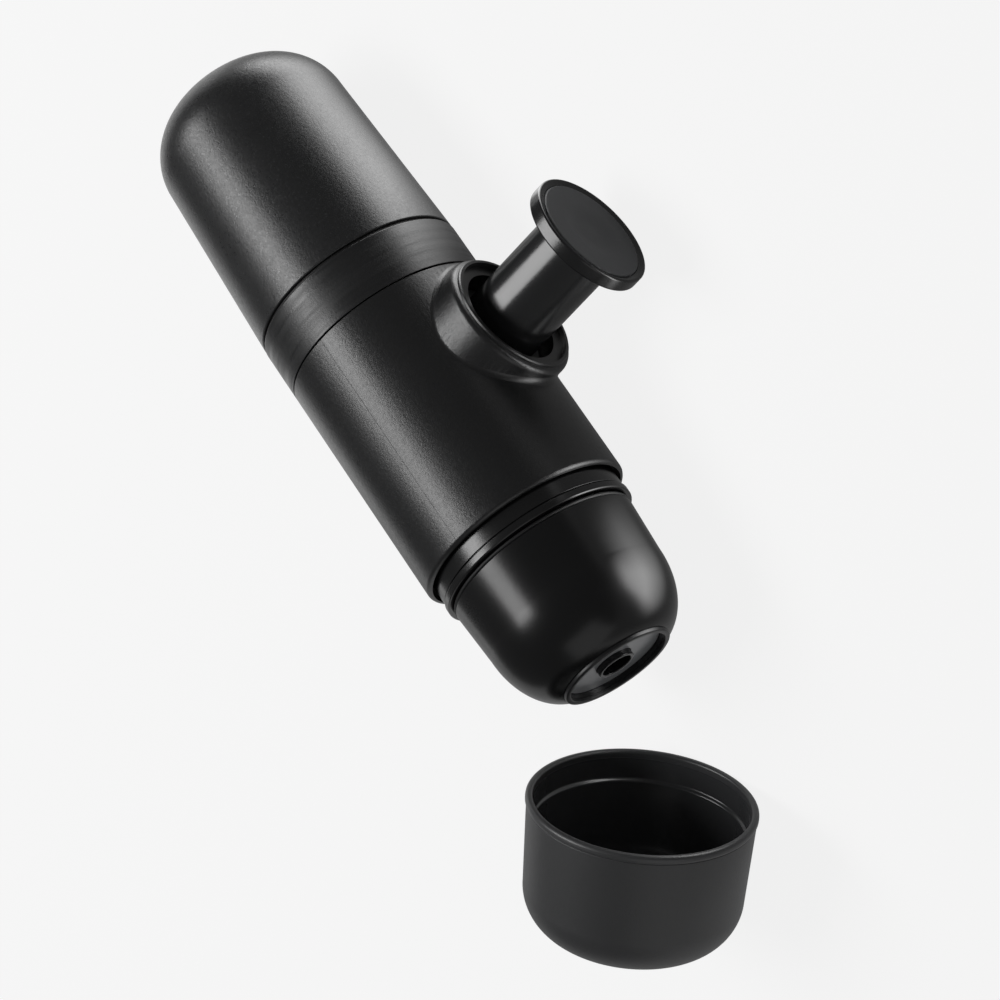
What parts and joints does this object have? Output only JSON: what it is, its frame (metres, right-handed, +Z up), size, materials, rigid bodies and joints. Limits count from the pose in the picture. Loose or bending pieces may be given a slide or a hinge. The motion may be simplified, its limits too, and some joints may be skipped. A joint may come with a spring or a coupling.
{
  "type": "handheld manual espresso maker",
  "caption": "Pocket espresso maker with water tank, side hand pump, screwed outlet head with filter basket, and its cup lying beside it.",
  "frame": {"origin": "centre of the tank's flat foot, on the maker's long axis", "axes": "the maker lies on its side: the tank's foot faces +X, the outlet points to -X, the hand pump stands out to -Y and down, +Z is up"},
  "size_m": [0.2674, 0.1306, 0.06],
  "materials": {
    "tank_satin": "satin, very fine texture",
    "band_matte": "semi-matte",
    "housing_satin": "satin",
    "gloss_black": "polished",
    "knob_gloss": "polished bead",
    "pad_soft": "matte, soft touch",
    "cup_matte": "matte",
    "neck_black": "semi-matte ridges",
    "ring_grey": "polished thin lip",
    "disc_grey": "polished",
    "inner_black": "moulded",
    "white_plastic": "moulded",
    "valve_rubber": "soft",
    "seal_rubber": "soft",
    "steel": "bright"
  },
  "bodies": {
    "maker": {"band_ring": "band_matte", "main_housing": "housing_satin", "collar_guide": "gloss_black", "sleeve_wiper": "seal_rubber", "pump_block": "inner_black", "pump_cylinder": "steel", "intake_strainer": "steel", "inlet_seat": "white_plastic", "inlet_spring": "steel", "outlet_spring": "steel", "outlet_retainer": "white_plastic", "air_valve": "valve_rubber", "port_seal": "seal_rubber", "brew_block": "inner_black", "block_screws": "steel", "neck_ring": "neck_black", "shower_screen": "steel", "screen_screw": "steel", "brew_seal": "seal_rubber", "return_spring": "steel"},
    "plunger": {"plunger_rod": "steel", "piston_seal": "seal_rubber", "spring_seat": "steel"},
    "handle": {"handle_sleeve": "gloss_black", "knob_disc": "knob_gloss", "knob_pad": "pad_soft"},
    "inlet_poppet": {"inlet_valve": "valve_rubber"},
    "outlet_poppet": {"outlet_valve": "valve_rubber"},
    "tank_seal": {"tank_gasket": "seal_rubber"},
    "tank": {"tank_shell": "tank_satin"},
    "basket": {"filter_basket": "steel", "basket_screen": "steel"},
    "head": {"outlet_head": "gloss_black", "head_grip_ring": "seal_rubber", "outlet_filter": "steel", "outlet_ring": "ring_grey", "spout_disc": "disc_grey", "spout_nozzle": "gloss_black"},
    "cup": {"cup_shell": "cup_matte", "cup_liner": "gloss_black"}
  },
  "joints": [
    {"name": "pump_stroke", "type": "slide", "parent": "maker", "child": "plunger", "axis": [0, 0.9808, 0.1949], "range_m": [0, 0.0278], "stiffness_N_per_m": 400, "springref_m": -0.02, "deforming": ["return_spring"]},
    {"name": "lock_twist", "type": "hinge", "parent": "plunger", "child": "handle", "pos_m": [-0.1093, 0, 0], "axis": [0, 0.9808, 0.1949], "range_deg": [0, 30]},
    {"name": "inlet_lift", "type": "slide", "parent": "maker", "child": "inlet_poppet", "axis": [-1, 0, 0], "range_m": [0, 0.0012], "stiffness_N_per_m": 200, "springref_m": -0.002, "deforming": ["inlet_spring"]},
    {"name": "outlet_lift", "type": "slide", "parent": "maker", "child": "outlet_poppet", "axis": [-1, 0, 0], "range_m": [0, 0.0012], "stiffness_N_per_m": 200, "springref_m": -0.002, "deforming": ["outlet_spring"]},
    {"name": "tank_draw", "type": "slide", "parent": "maker", "child": "tank_seal", "axis": [1, 0, 0], "range_m": [0, 0.0081]},
    {"name": "tank_turn", "type": "hinge", "parent": "tank_seal", "child": "tank", "pos_m": [0, 0, 0], "axis": [1, 0, 0], "range_deg": [0, 720]},
    {"name": "head_draw", "type": "slide", "parent": "maker", "child": "basket", "axis": [-1, 0, 0], "range_m": [0, 0.0081]},
    {"name": "head_turn", "type": "hinge", "parent": "basket", "child": "head", "pos_m": [-0.1619, 0, 0], "axis": [-1, 0, 0], "range_deg": [0, 720]},
    {"name": "cup_lift", "type": "slide", "parent": "maker", "child": "cup", "axis": [0, 0, 1], "range_m": [0, 0.1]}
  ],
  "couplings": [
    {"joint": "tank_draw", "follows": "tank_turn", "m_per_rad": 0.00063662},
    {"joint": "head_draw", "follows": "head_turn", "m_per_rad": 0.00063662}
  ]
}
